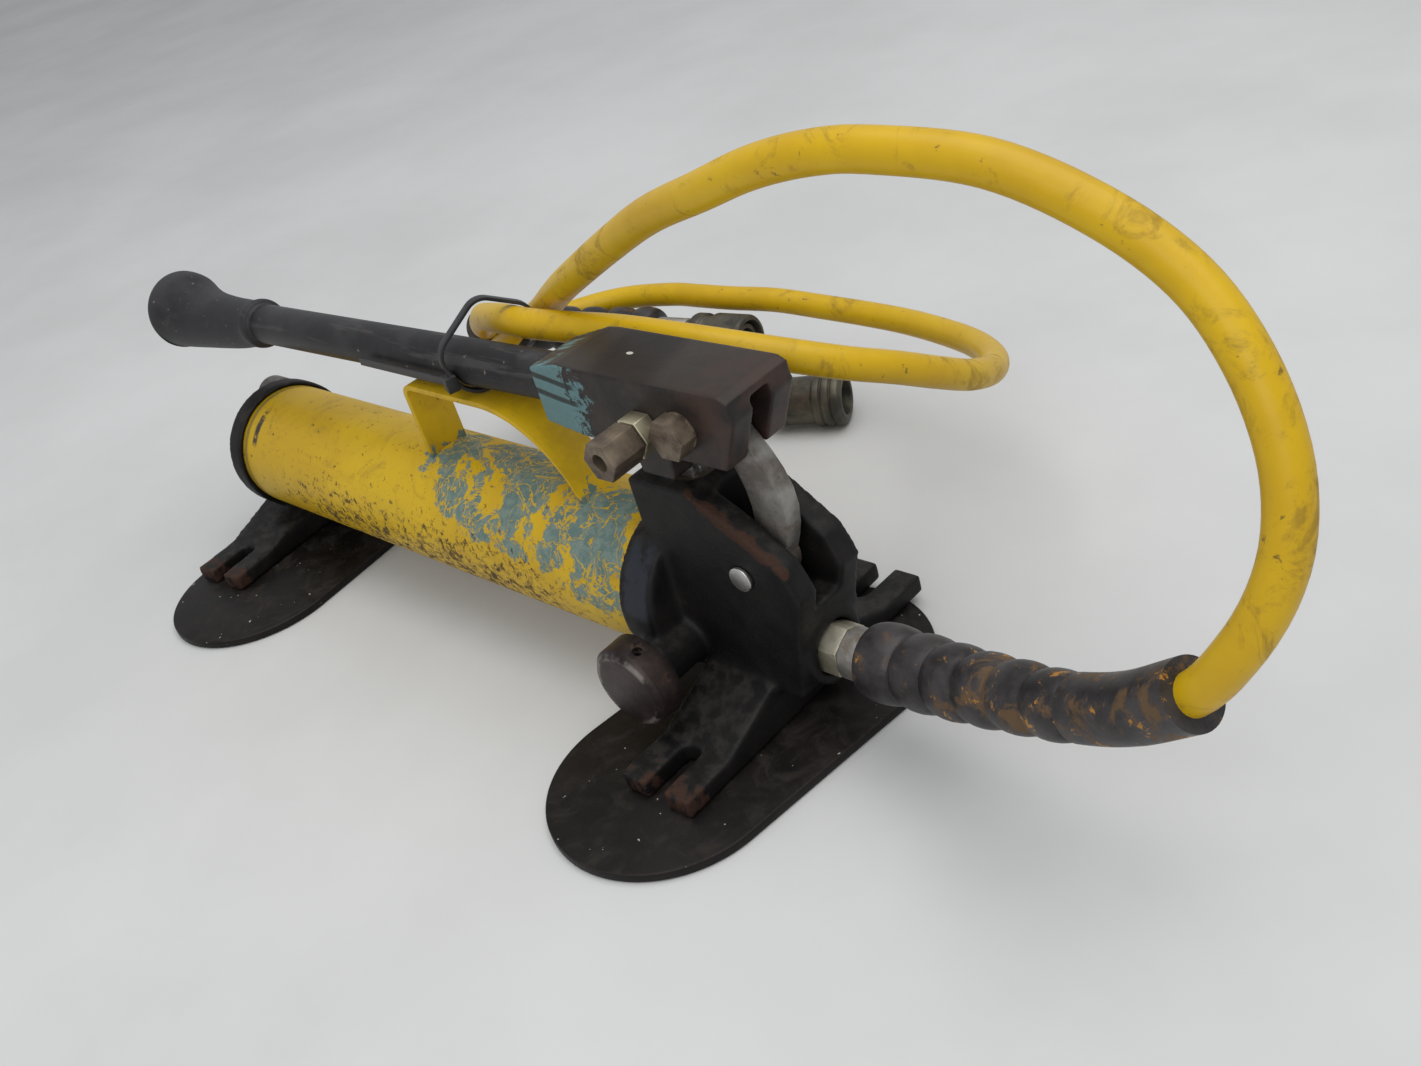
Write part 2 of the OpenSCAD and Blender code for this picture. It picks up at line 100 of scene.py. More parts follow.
# Shader helpers
class Wire:  # one socket, so that plain arithmetic on it adds Math nodes
    def __init__(self, look, socket):
        self.look = look
        self.socket = socket

    def __add__(self, other):
        return self.look.maths("ADD", self, other)

    def __sub__(self, other):
        return self.look.maths("SUBTRACT", self, other)

    def __rsub__(self, other):
        return self.look.maths("SUBTRACT", other, self)

    def __mul__(self, other):
        return self.look.maths("MULTIPLY", self, other)

    def __pow__(self, other):
        return self.look.maths("POWER", self, other)

    __radd__ = __add__
    __rmul__ = __mul__


class Look:
    def __init__(self, name, **fixed):
        self.material = bpy.data.materials.new(name)
        self.material.use_nodes = True
        self.tree = self.material.node_tree
        self.shader = self.tree.nodes["Principled BSDF"]
        self.spot = self.node("ShaderNodeTexCoord")["Object"]
        for socket, value in fixed.items():
            self.shader.inputs[socket.replace("_", " ")].default_value = value

    def put(self, socket, value):
        if isinstance(value, Wire):
            self.tree.links.new(value.socket, socket)
        elif isinstance(value, tuple) and len(value) == 3 and socket.type == "RGBA":
            socket.default_value = (*value, 1)
        else:
            socket.default_value = value

    def node(self, kind, settings=None, inputs=None):
        made = self.tree.nodes.new(kind)
        for key, value in (settings or {}).items():
            setattr(made, key, value)
        for key, value in (inputs or {}).items():
            self.put(made.inputs[key], value)
        return {s.name: Wire(self, s) for s in made.outputs if s.enabled}

    def maths(self, operation, a, b):
        return self.node("ShaderNodeMath", {"operation": operation}, {0: a, 1: b})["Value"]

    def noise(self, scale, detail=3, rough=0.55, twist=0.0, spot=None):
        return self.node("ShaderNodeTexNoise", {}, {
            "Vector": spot or self.spot, "Scale": scale, "Detail": detail, "Roughness": rough,
            "Distortion": twist})["Fac"]

    def step(self, value, low, high):  # 0 at low, 1 at high, eased between
        return self.node("ShaderNodeMapRange", {"interpolation_type": "SMOOTHSTEP"}, {
            "Value": value, "From Min": low, "From Max": high})["Result"]

    def band(self, value, low, high, soft):  # 1 between low and high
        return (self.step(value, low - soft, low + soft)
                * self.step(value, high + soft, high - soft))

    def mix(self, factor, a, b):
        made = self.tree.nodes.new("ShaderNodeMix")
        made.data_type = "RGBA"
        for place, value in ((0, factor), (6, a), (7, b)):  # its colour sockets are 6 and 7
            self.put(made.inputs[place], value)
        return Wire(self, made.outputs[2])

    def stretched(self, sx, sy, sz, turn=(0, 0, 0)):
        return self.node("ShaderNodeMapping", {}, {
            "Vector": self.spot, "Scale": (sx, sy, sz), "Rotation": turn})["Vector"]

    def xyz(self):
        split = self.node("ShaderNodeSeparateXYZ", {}, {0: self.spot})
        return split["X"], split["Y"], split["Z"]

    def edges(self, low, high):
        return self.step(self.node("ShaderNodeNewGeometry")["Pointiness"], low, high)

    def facingUp(self):
        normal = self.node("ShaderNodeNewGeometry")["Normal"]
        return self.node("ShaderNodeSeparateXYZ", {}, {0: normal})["Z"]

    def done(self, colour, rough, metal=0.0, height=None, depth=0.3 * mm, coat=None):
        self.put(self.shader.inputs["Base Color"], colour)
        self.put(self.shader.inputs["Roughness"], rough)
        self.put(self.shader.inputs["Metallic"], metal)
        if coat is not None:
            self.put(self.shader.inputs["Coat Weight"], coat)
        if height is not None:
            bump = self.node("ShaderNodeBump", {}, {"Height": height, "Distance": depth,
                                                    "Strength": 0.7})
            self.put(self.shader.inputs["Normal"], bump["Normal"])
        return self.material


def wornSteel(name, pale, dark, stain, metal, rough=0.42, stained=0.5):
    # bare or plated metal with cloudy tone, fine grain and stains
    k = Look(name)
    cloud = k.noise(55, 5, 0.62)
    fine = k.noise(420, 4, 0.7)
    blot = k.step(k.noise(95, 6, 0.7, 0.6), stained, stained + 0.16)
    colour = k.mix(k.step(cloud, 0.35, 0.65), dark, pale)
    colour = k.mix(blot * 0.75, colour, stain)
    colour = k.mix(k.step(fine, 0.6, 0.8) * 0.25, colour, dark)
    roughness = rough + 0.22 * blot + 0.14 * cloud
    return k.done(colour, roughness, metal * (1 - 0.7 * blot), fine + cloud * 0.6, 0.12 * mm)


def reservoirPaint():
    k = Look("reservoirPaint", Specular_IOR_Level=0.28)
    x, y, z = k.xyz()
    cloud = k.noise(16, 4, 0.6)
    patch = k.noise(44, 6, 0.68, 0.5)
    chip = k.noise(150, 6, 0.75, 0.5)
    speck = k.noise(330, 5, 0.74)
    colour = k.mix(k.step(cloud, 0.35, 0.66), (0.600, 0.385, 0.008), (0.520, 0.320, 0.009))
    smudge = k.step(k.noise(33, 6, 0.74, 1.0), 0.53, 0.70)
    colour = k.mix(smudge * 0.40, colour, (0.230, 0.140, 0.020))
    near = k.step(y, 0.010, -0.012)
    # scuffs and pits, thickest low on the near side at mid-length
    pitted = near * k.step(z, 0.088, 0.050) * k.band(x, -0.345, -0.085, 0.060)
    scuffed = k.step(speck * 0.65 + chip * 0.35 + pitted * 0.105, 0.575, 0.610)
    pit = k.step(chip * 0.6 + speck * 0.4 + pitted * 0.085, 0.600, 0.625)
    colour = k.mix(scuffed * 0.62, colour, (0.190, 0.110, 0.022))
    # undercoat: from the strap's rear foot forward, deeper towards the collar
    edge = z - 0.0820 + (x + 0.200) * 0.20
    bared = (k.step(edge, -0.010, 0.006) * k.band(x, -0.222, -0.036, 0.014)
             * k.step(y, 0.030, 0.012))
    wisp = k.noise(30, 4, 0.60, 1.2, k.stretched(1, 1.4, 1.4, (0.4, 0, 0.7))) - 0.5
    cross = k.noise(52, 3, 0.60, 0.8, k.stretched(1.5, 1, 1, (0, 0.5, -0.6))) - 0.5
    scratch = (k.step(wisp * wisp, 0.00016, 0.00004)
               + k.step(cross * cross, 0.00016, 0.00004))
    blotch = k.noise(26, 5, 0.66, 0.8)
    bare = k.step(blotch * 0.72 + chip * 0.28 + bared * 0.172, 0.640, 0.668)
    bare = bare * (1 - k.step(scratch, 0.2, 0.7) * 0.9)
    undercoat = k.mix(k.step(chip, 0.4, 0.62), (0.105, 0.165, 0.150), (0.180, 0.235, 0.200))
    colour = k.mix(bare, colour, undercoat)
    pitTone = k.mix(k.step(speck, 0.5, 0.66), (0.040, 0.024, 0.012), (0.120, 0.070, 0.022))
    colour = k.mix(pit * 0.9, colour, pitTone)
    # worn line beside the rear cap, and a bare strip next to it
    rimLine = k.band(x, -0.4005, -0.3975, 0.0008) * k.step(patch, 0.36, 0.48)
    strip = k.band(x, -0.3915, -0.3865, 0.0010) * k.band(z, 0.080, 0.0945, 0.002) * near
    colour = k.mix(rimLine * 0.7, colour, (0.150, 0.130, 0.070))
    colour = k.mix(strip * k.step(chip, 0.36, 0.50), colour, (0.045, 0.035, 0.028))
    rough = 0.40 + 0.12 * cloud + 0.25 * pit + 0.12 * bare
    height = 0.12 * speck + 0.2 * patch - 0.6 * pit - 0.35 * bare
    return k.done(colour, rough, 0.0, height, 0.3 * mm)


def strapPaint():
    k = Look("strapPaint", Specular_IOR_Level=0.28)
    z = k.xyz()[2]
    cloud = k.noise(40, 5, 0.65)
    chip = k.noise(150, 6, 0.72, 0.4)
    colour = k.mix(k.step(cloud, 0.38, 0.64), (0.590, 0.375, 0.008), (0.470, 0.290, 0.010))
    feet = k.step(z, 0.106, 0.096)
    bare = k.step(chip + 0.20 * feet, 0.66, 0.70)
    colour = k.mix(bare, colour, (0.120, 0.175, 0.150))
    dark = k.step(k.noise(230, 5, 0.7) + 0.09 * k.edges(0.52, 0.58), 0.66, 0.71)
    colour = k.mix(dark * 0.85, colour, (0.050, 0.030, 0.014))
    height = 0.3 * cloud - 0.5 * bare - dark * 0.3
    return k.done(colour, 0.42 + 0.25 * dark, 0.0, height, 0.25 * mm)


def castBlack():
    k = Look("castBlack", Specular_IOR_Level=0.22)
    x, y, z = k.xyz()
    cloud = k.noise(30, 5, 0.65)
    grain = k.noise(520, 5, 0.75)
    lump = k.noise(150, 4, 0.6)
    colour = k.mix(k.step(cloud, 0.36, 0.66), (0.0034, 0.0030, 0.0030), (0.0105, 0.0090, 0.0085))
    dust = k.step(k.facingUp(), 0.35, 0.95) * k.step(lump, 0.40, 0.66)
    colour = k.mix(dust * 0.32, colour, (0.060, 0.052, 0.044))
    # rust along the sloping front edge of the near cheek, and on the near foot's ends
    cheek = (k.step(y, -0.014, -0.0185) * k.step(z + x * 0.62, 0.1195, 0.1255)
             * k.step(x, -0.012, 0.004))
    ends = k.step(y, -0.066, -0.082)
    worn = lump * 0.6 + cloud * 0.45 + 0.24 * cheek + 0.16 * ends + 0.10 * k.edges(0.52, 0.58)
    rust = k.step(worn, 0.66, 0.74)
    rustTone = k.mix(grain, (0.026, 0.010, 0.007), (0.075, 0.034, 0.020))
    colour = k.mix(rust * 0.75, colour, rustTone)
    # a paler pad on the near side of the collar
    collar = (k.band(x, -0.046, -0.031, 0.0015) * k.band(z, 0.062, 0.0925, 0.002)
              * k.step(y, 0, -0.01))
    colour = k.mix(collar * k.step(lump, 0.30, 0.48) * 0.8, colour, (0.024, 0.028, 0.038))
    rough = 0.46 + 0.18 * lump + 0.22 * rust
    return k.done(colour, rough, 0.0, grain * 0.6 + lump * 0.8, 0.35 * mm)


def platePaint():
    k = Look("platePaint", Specular_IOR_Level=0.20)
    cloud = k.noise(22, 5, 0.66)
    grain = k.noise(480, 4, 0.7)
    colour = k.mix(k.step(cloud, 0.36, 0.64), (0.0045, 0.0034, 0.0030), (0.0110, 0.0085, 0.0075))
    dust = k.step(k.facingUp(), 0.4, 0.9) * k.step(k.noise(55, 6, 0.7, 0.6), 0.46, 0.70)
    colour = k.mix(dust * 0.22, colour, (0.075, 0.062, 0.052))
    speck = k.step(k.noise(330, 2, 0.5), 0.745, 0.765)
    colour = k.mix(speck * 0.85, colour, (0.42, 0.39, 0.35))
    worn = k.edges(0.53, 0.60) * k.step(k.noise(70, 5, 0.7), 0.34, 0.52)
    colour = k.mix(worn * 0.9, colour, (0.235, 0.165, 0.140))
    rough = 0.40 + 0.25 * dust + 0.15 * cloud
    return k.done(colour, rough, 0.0, grain * 0.4 + cloud, 0.2 * mm)


def beamPaint():
    k = Look("beamPaint", Specular_IOR_Level=0.32)
    x, y, z = k.xyz()
    cloud = k.noise(45, 5, 0.66)
    grain = k.noise(430, 5, 0.72)
    wear = k.noise(85, 6, 0.72, 0.5)
    colour = k.mix(k.step(cloud, 0.36, 0.64), (0.016, 0.0125, 0.0120), (0.034, 0.026, 0.021))
    top = k.step(k.facingUp(), 0.6, 0.9)
    # painted light: the upward faces are painted lighter, as if lit from above
    colour = k.mix(top * 0.55, colour, (0.048, 0.039, 0.030))
    # painted shade: a darker band across the top, where a sloped facet turns away from the light
    facetShade = k.band(x + y * 0.3, -0.050, -0.012, 0.006)
    colour = k.mix(top * facetShade * 0.75, colour, (0.013, 0.009, 0.008))
    ruddy = k.step(x, -0.002, 0.030) * k.step(cloud, 0.34, 0.60)
    colour = k.mix(ruddy * 0.55, colour, (0.060, 0.026, 0.019))
    side = k.step(top, 0.6, 0.2)
    fade = k.step(x, -0.036, -0.082)
    flaked = k.step(wear * 0.62 + grain * 0.38 + fade * 0.30, 0.605, 0.655)
    paint = k.mix(grain, (0.075, 0.165, 0.175), (0.150, 0.270, 0.280))
    colour = k.mix(flaked * side * k.step(fade, 0.02, 0.2) * 0.92, colour, paint)
    streak = k.noise(90, 4, 0.6, 0.2, k.stretched(0.25, 2.2, 1))
    streaked = k.step(x, -0.070, -0.082) * top * k.step(streak, 0.50, 0.58)
    colour = k.mix(streaked, colour, paint)
    # two grooves along the socket's side, painted darker: painted shade in the grooves
    groove = k.band(z, 0.1588, 0.1618, 0.0004) + k.band(z, 0.1673, 0.1703, 0.0004)
    colour = k.mix(side * k.step(x, -0.055, -0.060) * groove * 0.85, colour, (0.010, 0.009, 0.009))
    rust = k.step(wear * 0.8 + 0.16 * k.edges(0.52, 0.57), 0.58, 0.66)
    rustTone = k.mix(grain, (0.045, 0.020, 0.012), (0.125, 0.065, 0.036))
    colour = k.mix(rust * 0.7, colour, rustTone)
    # one bright spot on top
    dot = k.step((x + 0.0355) * (x + 0.0355) * 2.6e5 + y * y * 7.5e5, 1.1, 0.8) * top
    colour = k.mix(dot, colour, (0.62, 0.60, 0.52))
    rough = 0.38 + 0.2 * wear + 0.2 * rust
    return k.done(colour, rough, 0.1, grain * 0.5 + wear * 0.8 - 0.6 * rust, 0.3 * mm)


def darkTube():
    k = Look("darkTube", Specular_IOR_Level=0.35)
    cloud = k.noise(36, 5, 0.66)
    fine = k.noise(380, 4, 0.7)
    streak = k.noise(60, 4, 0.6, 0.1, k.stretched(0.18, 2, 2))
    colour = k.mix(k.step(cloud, 0.35, 0.65), (0.018, 0.017, 0.018), (0.036, 0.034, 0.035))
    colour = k.mix(k.step(streak, 0.56, 0.66) * 0.55, colour, (0.085, 0.080, 0.080))
    pale = k.step(k.noise(210, 5, 0.7), 0.665, 0.70)
    colour = k.mix(pale * 0.7, colour, (0.24, 0.21, 0.19))
    stain = k.step(k.noise(110, 6, 0.72, 0.5), 0.60, 0.68)
    colour = k.mix(stain * 0.75, colour, (0.070, 0.040, 0.024))
    rough = 0.40 + 0.18 * cloud + 0.2 * stain
    return k.done(colour, rough, 0.35, fine * 0.5 + streak, 0.16 * mm)


def gripRubber():
    k = Look("gripRubber", Specular_IOR_Level=0.35)
    cloud = k.noise(34, 5, 0.66)
    fine = k.noise(620, 4, 0.7)
    scuff = k.step(k.noise(75, 6, 0.72, 0.4, k.stretched(0.5, 1.6, 1.6)), 0.56, 0.68)
    colour = k.mix(k.step(cloud, 0.35, 0.66), (0.015, 0.014, 0.016), (0.030, 0.028, 0.030))
    colour = k.mix(scuff * 0.5, colour, (0.070, 0.065, 0.063))
    pale = k.step(k.noise(260, 2, 0.5), 0.69, 0.73)
    colour = k.mix(pale * 0.5, colour, (0.20, 0.18, 0.16))
    rough = 0.50 + 0.2 * scuff + 0.1 * cloud
    return k.done(colour, rough, 0.0, fine * 0.5 + scuff, 0.15 * mm)


def guardRubber():
    k = Look("guardRubber", Specular_IOR_Level=0.35)
    x = k.xyz()[0]
    cloud = k.noise(60, 5, 0.66)
    fine = k.noise(600, 4, 0.7)
    smear = k.noise(62, 6, 0.74, 0.7)
    worst = k.band(x, 0.125, 0.235, 0.030)  # dirtiest along the outlet's guard
    ochre = k.step(smear + worst * 0.075, 0.575, 0.665)
    bright = k.step(k.noise(120, 5, 0.72, 0.4) + worst * 0.06, 0.655, 0.700)
    colour = k.mix(k.step(cloud, 0.35, 0.66), (0.015, 0.013, 0.014), (0.046, 0.040, 0.041))
    colour = k.mix(ochre * 0.62, colour, (0.150, 0.082, 0.028))
    colour = k.mix(bright * 0.85, colour, (0.420, 0.190, 0.022))
    return k.done(colour, 0.42 + 0.25 * ochre, 0.0, fine * 0.4 + cloud, 0.14 * mm)


def hoseRubber():
    k = Look("hoseRubber", Specular_IOR_Level=0.30)
    x = k.xyz()[0]
    cloud = k.noise(14, 4, 0.6)
    fine = k.noise(560, 4, 0.7)
    bend = k.step(x, 0.205, 0.250) * 0.055  # the front bend is the dirtiest
    dirt = k.step(k.noise(42, 6, 0.76, 0.9) + bend, 0.53, 0.70)
    colour = k.mix(k.step(cloud, 0.36, 0.66), (0.610, 0.385, 0.005), (0.520, 0.310, 0.006))
    colour = k.mix(dirt * 0.60, colour, (0.205, 0.120, 0.018))
    nick = k.step(k.noise(150, 6, 0.74), 0.640, 0.680)
    colour = k.mix(nick * 0.70, colour, (0.070, 0.045, 0.018))
    return k.done(colour, 0.38 + 0.25 * dirt, 0.0, fine * 0.3 + cloud * 0.5, 0.15 * mm)


def knobPaint():
    k = Look("knobPaint", Specular_IOR_Level=0.35)
    x, _, z = k.xyz()
    cloud = k.noise(60, 5, 0.66)
    grain = k.noise(460, 4, 0.7)
    colour = k.mix(k.step(cloud, 0.35, 0.65), (0.020, 0.013, 0.012), (0.048, 0.034, 0.031))
    # an arc rubbed bright round the knob's axis
    spread = ((x + 0.030) * (x + 0.030) + (z - 0.041) * (z - 0.041)) ** 0.5
    arc = k.band(spread, 0.0168, 0.0196, 0.0007) * k.step(cloud, 0.42, 0.56) * 0.6
    colour = k.mix(arc, colour, (0.26, 0.235, 0.21))
    rust = k.step(k.noise(120, 6, 0.72, 0.5), 0.57, 0.66)
    colour = k.mix(rust * 0.6, colour, (0.10, 0.055, 0.030))
    rough = 0.42 + 0.2 * rust - 0.1 * arc
    return k.done(colour, rough, 0.4, grain * 0.6 + cloud - arc * 0.3, 0.2 * mm)


# material name, pale tone, dark tone, stain, metal, then roughness and where stains start
steels = {
    "link": ("linkSteel", (0.30, 0.285, 0.26), (0.13, 0.115, 0.10), (0.085, 0.052, 0.030), 0.55),
    "bolt": ("boltSteel", (0.24, 0.19, 0.135), (0.10, 0.075, 0.055), (0.050, 0.028, 0.018), 0.6),
    "zinc": ("zincNut", (0.62, 0.57, 0.40), (0.34, 0.29, 0.19), (0.20, 0.13, 0.07),
             0.85, 0.32, 0.58),
    "adapter": ("adapterSteel", (0.56, 0.53, 0.42), (0.30, 0.27, 0.20), (0.14, 0.085, 0.045),
                0.7, 0.36, 0.56),
    "bright": ("brightSteel", (0.60, 0.59, 0.57), (0.42, 0.41, 0.40), (0.20, 0.15, 0.11),
               0.95, 0.25, 0.62),
    "ferrule": ("ferruleSteel", (0.42, 0.41, 0.38), (0.22, 0.21, 0.19), (0.12, 0.085, 0.05), 0.75),
    "coupler": ("couplerSteel", (0.125, 0.115, 0.085), (0.05, 0.046, 0.038), (0.06, 0.035, 0.02),
                0.7),
    "plug": ("plugSteel", (0.16, 0.15, 0.135), (0.07, 0.062, 0.055), (0.05, 0.03, 0.02), 0.5),
    "nylon": ("tieNylon", (0.020, 0.020, 0.022), (0.010, 0.010, 0.011), (0.05, 0.045, 0.04),
              0.0, 0.36, 0.62),
    "seal": ("sealRubber", (0.03, 0.03, 0.03), (0.018, 0.018, 0.018), (0.05, 0.04, 0.03),
             0.0, 0.6, 0.6),
}
looks = {
    "reservoir": reservoirPaint(), "strap": strapPaint(), "cast": castBlack(),
    "plate": platePaint(), "beam": beamPaint(), "tube": darkTube(), "grip": gripRubber(),
    "guard": guardRubber(), "hose": hoseRubber(), "knob": knobPaint(),
}
looks.update({key: wornSteel(*tones) for key, tones in steels.items()})
print("materials made:", len(looks))


# Modelling helpers
def only(piece):
    bpy.ops.object.select_all(action="DESELECT")
    piece.select_set(True)
    bpy.context.view_layer.objects.active = piece


def applyAll(piece):
    only(piece)
    for modifier in list(piece.modifiers):
        bpy.ops.object.modifier_apply(modifier=modifier.name)


easedAngle = 32  # degrees: a sharper corner than this is an edge


def finished(piece, name, body, look, stands=(), angle=easedAngle):
    piece.name = name
    piece.data.name = name
    only(piece)
    bpy.ops.object.transform_apply(location=True, rotation=True, scale=True)
    bpy.ops.object.shade_smooth_by_angle(angle=math.radians(angle))
    piece.data.materials.clear()
    piece.data.materials.append(looks[look])
    if stands:
        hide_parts(*stands)
    if body:
        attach(piece, body)
    return piece


record = frame["record"]
bodyOf = {node: body for body, members in record["behaviour"]["bodies"].items()
          for node in members}


def copyOf(node):
    piece = nodes[node].copy()
    piece.data = nodes[node].data.copy()
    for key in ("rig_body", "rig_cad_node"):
        del piece[key]
    piece.parent = None
    bpy.context.scene.collection.objects.link(piece)
    only(piece)
    bpy.ops.object.mode_set(mode="EDIT")
    bpy.ops.mesh.select_all(action="SELECT")
    bpy.ops.mesh.remove_doubles(threshold=0.004 * mm)
    bpy.ops.mesh.dissolve_limited(angle_limit=math.radians(0.5))
    bpy.ops.object.mode_set(mode="OBJECT")
    return piece


def eased(node, width, look, segments=2):
    # the CAD shape with its sharp edges broken, by a width in mm
    piece = copyOf(node)
    bevel = piece.modifiers.new("edge", "BEVEL")
    bevel.width = width * mm
    bevel.segments = segments
    bevel.limit_method = "ANGLE"
    bevel.angle_limit = math.radians(easedAngle)
    applyAll(piece)
    return finished(piece, node + "Finish", bodyOf[node], look, (node,))


def cast(node, voxel, soften, look):
    # the CAD shape remeshed and softened, as a casting comes out of sand
    piece = copyOf(node)
    remesh = piece.modifiers.new("skin", "REMESH")
    remesh.mode = "VOXEL"
    remesh.voxel_size = voxel * mm
    smooth = piece.modifiers.new("soften", "SMOOTH")
    smooth.factor = 0.5
    smooth.iterations = soften
    applyAll(piece)
    return finished(piece, node + "Casting", bodyOf[node], look, (node,), 60)


def turned(profile, sides):
    # a disc extruded and scaled along a profile of (distance, radius)
    bpy.ops.object.select_all(action="DESELECT")
    distance, radius = profile[0]
    bpy.ops.mesh.primitive_circle_add(vertices=sides, radius=radius, fill_type="NGON",
                                      location=(0, 0, 0))
    piece = bpy.context.object
    bpy.ops.object.mode_set(mode="EDIT")
    bpy.ops.mesh.select_all(action="SELECT")
    bpy.ops.transform.translate(value=(0, 0, distance))
    for nextDistance, nextRadius in profile[1:]:
        bpy.ops.mesh.extrude_region_move(
            TRANSFORM_OT_translate={"value": (0, 0, nextDistance - distance)})
        ratio = nextRadius / radius
        bpy.ops.transform.resize(value=(ratio, ratio, 1))
        distance, radius = nextDistance, nextRadius
    bpy.ops.mesh.select_all(action="SELECT")
    bpy.ops.mesh.normals_make_consistent(inside=False)
    bpy.ops.object.mode_set(mode="OBJECT")
    return piece


def aimed(piece, start, direction):
    turn = Vector((0, 0, 1)).rotation_difference(Vector(direction)).to_matrix().to_4x4()
    piece.matrix_world = Matrix.Translation(Vector(start)) @ turn
    return piece


def smoothRoute(points, spacing):
    # an even curve through the route, in metres
    line = [Vector(p) * mm for p in points]
    line = [2 * line[0] - line[1]] + line + [2 * line[-1] - line[-2]]
    out = []
    for a, b, c, d in zip(line, line[1:], line[2:], line[3:]):
        count = max(1, round((c - b).length / spacing))
        for k in range(count):
            t = k / count
            out.append(0.5 * (2 * b + (c - a) * t + (2 * a - 5 * b + 4 * c - d) * t * t
                              + (3 * b - a - 3 * c + d) * t ** 3))
    out.append(line[-2])
    return out


def sweptTube(name, line, radiusAt, sides):
    # a closed round tube whose radius follows the distance travelled
    verts, faces, travelled = [], [], [0.0]
    for p, q in zip(line, line[1:]):
        travelled.append(travelled[-1] + (q - p).length)
    side = Vector((0, 0, 1)).cross(line[1] - line[0]).normalized()
    for i, p in enumerate(line):
        ahead = (line[min(i + 1, len(line) - 1)] - line[max(i - 1, 0)]).normalized()
        side = (side - ahead * side.dot(ahead)).normalized()
        other = ahead.cross(side)
        r = radiusAt(travelled[i], travelled[-1])
        for k in range(sides):
            a = 2 * math.pi * k / sides
            verts.append(p + side * r * math.cos(a) + other * r * math.sin(a))
    for i in range(len(line) - 1):
        for k in range(sides):
            a, b = i * sides + k, i * sides + (k + 1) % sides
            faces.append((a, b, b + sides, a + sides))
    faces.append(tuple(reversed(range(sides))))
    faces.append(tuple(range((len(line) - 1) * sides, len(line) * sides)))
    mesh = bpy.data.meshes.new(name)
    mesh.from_pydata(verts, [], faces)
    piece = bpy.data.objects.new(name, mesh)
    bpy.context.scene.collection.objects.link(piece)
    return piece, travelled[-1]


# Hose, its guards and its coupler
hose = {
    "radius": 7.5 * mm, "sides": 24, "spacing": 5 * mm,
    "route": [(63, 0, 44.1), (88, -1, 47), (120, -9, 58), (150, -18, 71), (180, -27, 85),
              (206, -32, 99), (230, -35, 117), (244, -34, 137), (253, -29, 157), (256, -23, 177),
              (252, -16, 199), (240, -9, 222), (221, -2, 241), (194, 0, 258), (160, -2, 272),
              (122, -7, 277), (98, -9, 276), (71, -9, 270), (41, -6, 259), (-1, 3, 243),
              (-42, 13, 223), (-101, 29, 192), (-130, 39, 176), (-159, 48, 159), (-187, 50, 143),
              (-213, 54, 128), (-240, 60, 114), (-272, 73, 98), (-304, 92, 84), (-324, 119, 75),
              (-329, 151, 72), (-315, 180, 73), (-289, 203, 74), (-252, 213, 76), (-228, 216, 76),
              (-205, 220, 75), (-175, 228, 73), (-145, 234, 69), (-110, 236, 67), (-78, 232, 68),
              (-45, 222, 71), (-14, 207, 76), (13, 184, 84), (30, 158, 94), (39, 130, 108),
              (40, 107, 122), (35, 85, 136), (25, 66, 147), (9, 50, 157), (-11, 39, 164),
              (-37, 31, 169), (-74, 28, 170), (-104, 24, 170), (-131, 21, 170), (-156, 24, 168),
              (-198, 41, 155), (-222, 54, 145), (-246, 67, 132), (-276, 87, 115), (-299, 112, 98),
              (-306, 133, 86), (-301, 155, 75), (-286, 174, 65), (-265, 186, 60),
              (-248.6, 189.7, 59.1)],
}
hoseLine = smoothRoute(hose["route"], hose["spacing"])
hoseTube, hoseLength = sweptTube("hoseTube", hoseLine, lambda s, whole: hose["radius"],
                                 hose["sides"])
finished(hoseTube, "hoseTube", None, "hose", ("hose",), 60)


guards = {"radius": 18, "taper": 5.2, "groove": 3.4, "sleeve": 12.5, "least": 10, "bulbs": 6,
          "bulbShare": 0.70, "spacing": 1.2 * mm, "sides": 40, "points": 7}


def guardRadius(s, whole):
    # bulbs that taper into a straight sleeve
    bulbPart = guards["bulbShare"] * whole
    if s > bulbPart:
        return guards["sleeve"] * mm
    crest = guards["radius"] - guards["taper"] * s / bulbPart
    phase = (s / bulbPart * guards["bulbs"]) % 1
    bulge = math.sqrt(max(0.0, 1 - (2 * phase - 1) ** 2))
    return max(crest - guards["groove"] * (1 - bulge), guards["least"]) * mm


def guard(name, points, body, node):
    line = smoothRoute(points, guards["spacing"])
    piece = sweptTube(name, line, guardRadius, guards["sides"])[0]
    return finished(piece, name, body, "guard", (node,), 50)


route = hose["route"]
outletGuard = guard("outletGuard", [(64.2, 0, 44.1)] + route[1:guards["points"]], "pump",
                    "hose_guard")
endGuard = guard("endGuard", route[:-guards["points"] - 1:-1], "handle", "end_guard")
endFerrule = eased("end_ferrule", 1.2, "ferrule", 3)
couplerBody = eased("coupler_body", 0.6, "coupler")
couplerRing = eased("coupler_collar", 0.7, "coupler")
eased("coupler_cap", 0.8, "coupler", 3)
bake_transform(hoseTube)
print("hose made:", round(hoseLength, 3), "m")


# Castings, beam and handle
cast("head_casting", 1.5, 9, "cast")
cast("rear_cap", 1.5, 7, "cast")
cast("beam", 0.9, 7, "beam")
eased("handle_tube", 0.5, "tube")
print("castings made")

